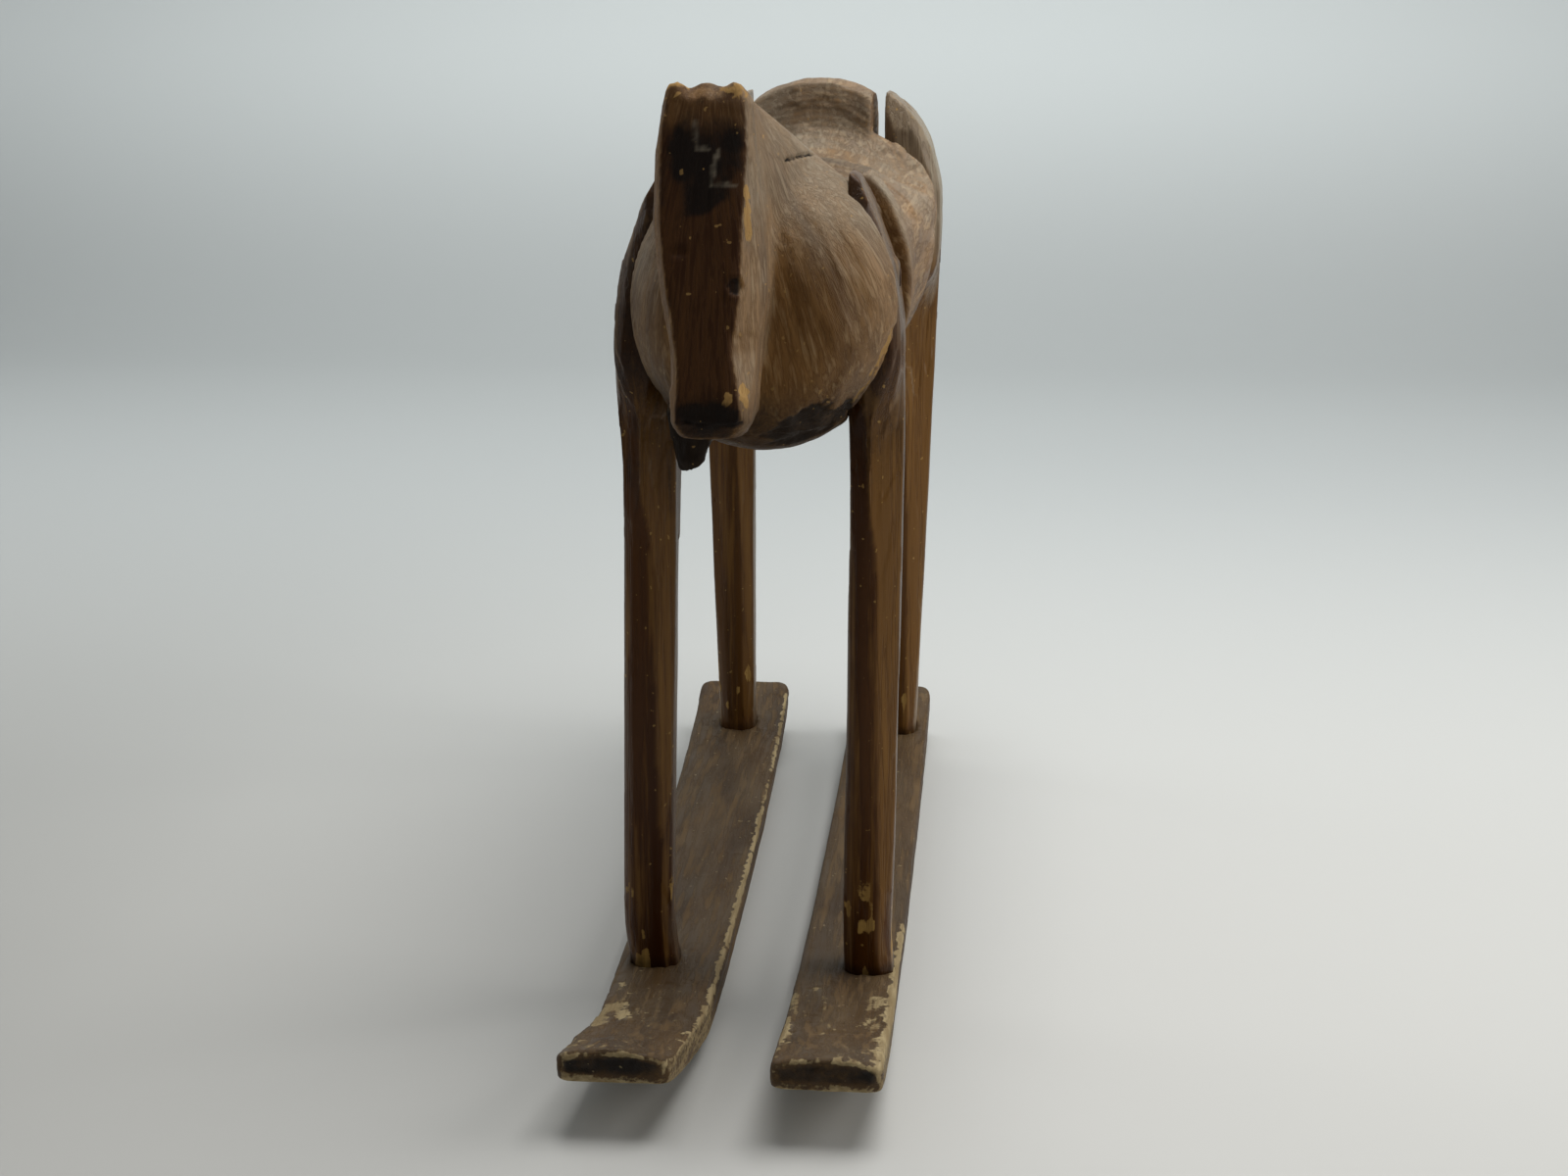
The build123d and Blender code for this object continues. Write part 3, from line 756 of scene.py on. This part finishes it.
def carve_leg(name, seed, sway, flats):
    """sway holds how far the post leans left at the foot, shin and knee.

    flats holds a point on each long flat and the way it faces, in plan.
    """
    skin = Carving(name, LEG_VOXEL, name + "_wood")
    height = skin.co[:, 2]
    skin.co[:, 0] += np.interp(height, LEG_HEIGHTS, (0, *sway, 0))
    outward = np.sign(skin.co[0, 0])
    # The top of the cheek thins, and the whole cheek is a little wider than the CAD's.
    wide = np.abs(skin.co[:, 0] - HOUSING_MIDDLE_X)
    skin.co[:, 0] -= outward * 2.5 * ramp(height, 445, 475) * ramp(wide, 54, 62)
    cheek_y = (skin.co[height > 440, 1].min() + skin.co[height > 440, 1].max()) / 2
    skin.co[:, 1] += (skin.co[:, 1] - cheek_y) * 0.03 * ramp(height, 385, 405)
    skin.renormal()
    base = skin.co.copy()
    post = ramp(base[:, 2], 26, 36)
    skin.smooth(1, post)
    saved = skin.co.copy()
    lit_flats = np.zeros(len(base))
    for number, (px, py, nx, ny) in enumerate(flats):
        cut = skin.plane((px, py, 0), (nx, ny, 0), seed + number, 1.0)
        # Only the flats turned to +X are kept; leg_wood paints light on them.
        lit_flats = np.maximum(lit_flats, cut * (nx > 0))
    # The flats fade out at the tenon and under the cheek.
    below = (ramp(base[:, 2], 26, 40) * ramp(base[:, 2], 400, 350))[:, None]
    skin.co = saved + (skin.co - saved) * below
    skin.renormal()
    skin.facets((14, 18, 70), 0.5, 0.9, seed, post)
    skin.push(rough_noise(base, (16, 16, 60), seed, 2) * 0.5 * post)
    skin.push(rough_noise(base, (2.5, 2.5, 40), seed + 5, 2) * 0.1 * post)
    nicks = ramp(rough_noise(base, (4, 4, 7), seed + 9, 2), 0.66, 0.8) * post
    skin.push(-nicks * 0.6)
    # The skin lies flush round the end of each peg.
    for peg in ("low", "high"):
        corners = np.array(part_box(name.replace("leg", "peg") + "_" + peg)) / MM
        middle = corners.mean(axis=0)
        end = corners[1 if outward > 0 else 0, 0]
        apart = np.hypot(skin.co[:, 1] - middle[1], skin.co[:, 2] - middle[2])
        flush = ramp(apart, 14, 7) * ramp(np.abs(skin.co[:, 0] - end), 9, 6)
        skin.co[:, 0] += (end - outward * 0.5 - skin.co[:, 0]) * flush
        rim = np.abs(apart - PEG_RING)
        skin.add("dark", ramp(rim, 2.2, 0.6) * flush * 0.6)
    skin.renormal()
    hollow = skin.hollowness(4)
    patch = rough_noise(base, (9, 9, 26), seed + 20, 3)
    skin.add("worn", ramp(hollow, -0.35, -0.9) * (0.25 + 0.5 * patch) + nicks * 0.5)
    skin.add("worn", ramp(patch, 0.1, 0.3) * ramp(base[:, 2], 110, 60) * 0.85)
    streaked = ramp(rough_noise(base, (12, 12, 60), seed + 2, 3), 0.2, 0.7)
    # Darker at the foot, where the leg goes into the runner, as painted shade; the long dark streaks are
    # stain.
    skin.add("dark", ramp(skin.co[:, 2], 38, 27) * 0.6 + streaked * 0.3)
    # The front legs get more painted shade on their faces turned to the front, and less dust and painted
    # sheen, than the rear ones.
    rear = "rear" in name
    skin.add("dust_and_sheen", ramp(np.abs(skin.normal[:, 0]), 0.66, 0.9) * (0.4 if rear else 0.2))
    skin.add("dust_and_sheen", ramp(base[:, 2], 385, 430) * (0.65 if rear else 0.12))
    shaded = ramp(base[:, 2], 240, 400) * ramp(-skin.normal[:, 1], 0.3, 0.8)
    skin.add("dark", shaded * (0.15 if rear else 0.62))
    skin.masks["rear"] = np.full(len(base), 1.0 if rear else 0.0)
    skin.masks["flat"] = skin.neighbour_mean(lit_flats * below[:, 0])[:, 0]
    skin.finish(LEG_WOOD, "whittled_leg", name)


def leg_wood():
    s = Shader("leg_wood")
    grain = s.mapped(s.place(), (1, 1, 0.045))
    # Painted light on the flats turned to +X.
    flat_painted_light = s.math("MULTIPLY", s.attribute("flat"), 0.52)
    # Painted light: the rear legs are lit a little lighter.
    lift = s.math("MAXIMUM", flat_painted_light, s.math("MULTIPLY", s.attribute("rear"), 0.22))
    return wood(s, s.noise(grain, 45, 2), s.noise(grain, 170, 4), s.noise(grain, 800, 3), tone(54, 25, 1),
                tone(78, 44, 7), tone(126, 90, 42), tone(178, 142, 78), gloss=(0.3, 0.42),
                grey=tone(142, 130, 110), shine=0.16, lift=lift)


# ---------------------------------------------------------------- runners

def carve_runner(name, seed, front_mid, edges, chips):
    """front_mid is the middle of the front end, in X.

    edges holds lines along worn edges, with the radius and amount of wear.
    chips holds the centre, radii and amount of scraped places.
    """
    skin = Carving(name, RUNNER_VOXEL, name + "_board")
    base = skin.co.copy()
    # The upper edge of the front end is worn round towards its corners.
    corner = ramp(np.abs(base[:, 0] - front_mid), 8, 33) * ramp(base[:, 1], -300, -345)
    skin.co[:, 2] -= 3.6 * corner * ramp(base[:, 2], 38, 50)
    skin.smooth(2)
    up = ramp(skin.normal[:, 2], 0.2, 0.9)
    ends = ramp(-skin.normal[:, 1], 0.5, 0.8) * ramp(base[:, 1], -320, -345)
    skin.facets((20, 70, 20), 0.5, 0.8, seed, ramp(skin.normal[:, 2], -0.5, 0.0))
    skin.push(rough_noise(base, (20, 80, 20), seed, 2) * 0.6)
    skin.push(rough_noise(base, (3, 30, 3), seed + 1, 2) * 0.12)
    skin.push(ends * (rough_noise(base, (5, 5, 5), seed + 2, 3) * 1.2 - 0.6))
    hollow = skin.hollowness(6)
    patch = rough_noise(base, (9, 22, 9), seed + 3, 3)
    broad = rough_noise(base, (16, 40, 16), seed + 4, 3)
    edge = ramp(hollow, -0.3, -1.0)
    skin.add("worn", edge * (0.2 + 0.5 * patch) + ramp(broad, 0.4, 0.65) * 0.25 * up)
    for line, radius, amount in edges:
        skin.add("worn", skin.stripe(line, radius, 0.9, seed + 11) * amount)
    for centre, radii, amount in chips:
        chip = skin.spot(centre, radii, 0.7, seed + 13)
        skin.add("worn", chip * amount * (0.7 + 0.6 * patch))
        skin.push(-chip * 0.5)
    # The front end is dark and split in the middle, with a worn rim.
    rise = ramp(base[:, 2], 37, 41) * ramp(base[:, 2], 50.5, 47)
    inside = ramp(np.abs(base[:, 0] - front_mid), 29, 23)
    skin.add("dark", ends * rise * inside * (0.75 + 0.7 * patch))
    skin.add("worn", ends * (1 - rise * inside) * (0.6 + 0.5 * patch))
    skin.push(-ends * rise * inside * (0.6 + 1.4 * np.abs(rough_noise(base, (9, 9, 4), seed + 6, 3))))
    scraped = rough_noise(base, (5, 11, 5), seed + 7, 4)
    scraped += 0.5 * rough_noise(base, (22, 30, 22), seed + 8, 2)
    skin.add("worn", ramp(scraped, 0.24, 0.52) * ramp(base[:, 1], -208, -232) * up * 0.5)
    # Dust and painted sheen on the surfaces turned up.
    skin.add("dust_and_sheen", up * (0.16 + 0.3 * broad))
    skin.add("worn", ramp(-skin.normal[:, 2], 0.3, 0.8) * 0.9)
    skin.add("worn", ramp(skin.normal[:, 0], 0.5, 0.8) * ramp(base[:, 1], -150, -260) * 0.55)
    skin.finish(RUNNER_WOOD, "runner_board", name)


def runner_wood():
    s = Shader("runner_wood")
    grain = s.mapped(s.place(), (1, 0.07, 1))
    return wood(s, s.noise(grain, 60, 3), s.noise(grain, 240, 5), s.noise(grain, 900, 3), tone(56, 38, 16),
                tone(82, 60, 32), tone(104, 80, 48), tone(164, 146, 108), gloss=(0.5, 0.75),
                grey=tone(112, 97, 74))


# ---------------------------------------------------------------- pegs and wedges

def trim_wood(name, middle):
    s = Shader(name)
    place = s.place()
    return wood(s, s.noise(place, 90, 3), s.noise(place, 500, 4), s.noise(place, 1500, 2), tone(40, 22, 10),
                middle, tone(130, 96, 60), tone(170, 134, 86), gloss=(0.5, 0.75))


def trim(kind, material):
    """Gives the CAD's own pegs or wedges their wood."""
    for name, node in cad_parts.items():
        if name.startswith(kind):
            node.data.materials.clear()
            node.data.materials.append(material)


# The long flats of each leg: a point on the flat and the way it faces, both in plan.
FRONT_LEFT_FLATS = ((76, -187.5, 0.62, -0.78), (60, -187.5, -0.6, -0.8), (80, -160, 0.7, 0.7))
FRONT_RIGHT_FLATS = ((-52, -187.5, 0.66, -0.75), (-71, -187.5, -0.62, -0.78), (-70, -160, -0.7, 0.7))
REAR_LEFT_FLATS = ((76, 276, 0.66, -0.75), (62, 276, -0.6, -0.8))
REAR_RIGHT_FLATS = ((-52, 276, 0.66, -0.75), (-68, 276, -0.6, -0.8))

# The worn edges and scraped places of each runner, as carve_runner takes them.
LEFT_EDGES = ((((84, -350, 50), (86, -300, 38), (88, -200, 26), (89, -100, 22)), 5.5, 0.75),
              (((88, -100, 22), (90, 150, 22), (90, 340, 36)), 1.6, 0.6),
              (((28, -350, 50), (28, -300, 38), (29, -225, 28)), 3.0, 0.6))
LEFT_CHIPS = (((76.5, -235, 30), (7, 14, 6), 0.7), ((77, -270, 34), (6, 16, 6), 0.65),
              ((57, -290, 38), (14, 6, 6), 0.6), ((40, -214, 28), (4, 4, 4), 0.8),
              ((32, -301, 40), (5, 14, 6), 0.5))
RIGHT_EDGES = ((((-18.2, -240, 29), (-19.4, -60, 19.5), (-20.8, 60, 18)), 3.4, 0.95),
               (((-20.8, 60, 18), (-23, 240, 23), (-24, 340, 34)), 3.0, 0.85),
               (((-27, -350, 51), (-23, -300, 40), (-19, -250, 31)), 3.4, 0.8),
               (((-86, -350, 51), (-82, -300, 40), (-78, -262, 31)), 3.0, 0.6))
RIGHT_CHIPS = (((-76, -224, 28), (5, 12, 6), 0.8), ((-62, -227, 28), (4, 9, 6), 0.8),
               ((-76, -281, 36), (8, 14, 6), 0.75), ((-70, -261, 32), (8, 16, 6), 0.6),
               ((-57, -267, 32), (12, 14, 6), 0.5), ((-84, -330, 46), (6, 12, 6), 0.65))

LEG_WOOD = leg_wood()
RUNNER_WOOD = runner_wood()
carve_log()
carve_leg("leg_front_left", 30, (-1.5, 0.5, 1.5), FRONT_LEFT_FLATS)
carve_leg("leg_front_right", 37, (-3, -0.5, 2.5), FRONT_RIGHT_FLATS)
carve_leg("leg_rear_left", 44, (0, 0, 0), REAR_LEFT_FLATS)
carve_leg("leg_rear_right", 51, (0, 0, 0), REAR_RIGHT_FLATS)
carve_runner("runner_left", 70, 56, LEFT_EDGES, LEFT_CHIPS)
carve_runner("runner_right", 75, -57, RIGHT_EDGES, RIGHT_CHIPS)
trim("peg_", trim_wood("peg_wood", tone(80, 50, 26)))
trim("wedge_", trim_wood("wedge_wood", tone(128, 98, 60)))
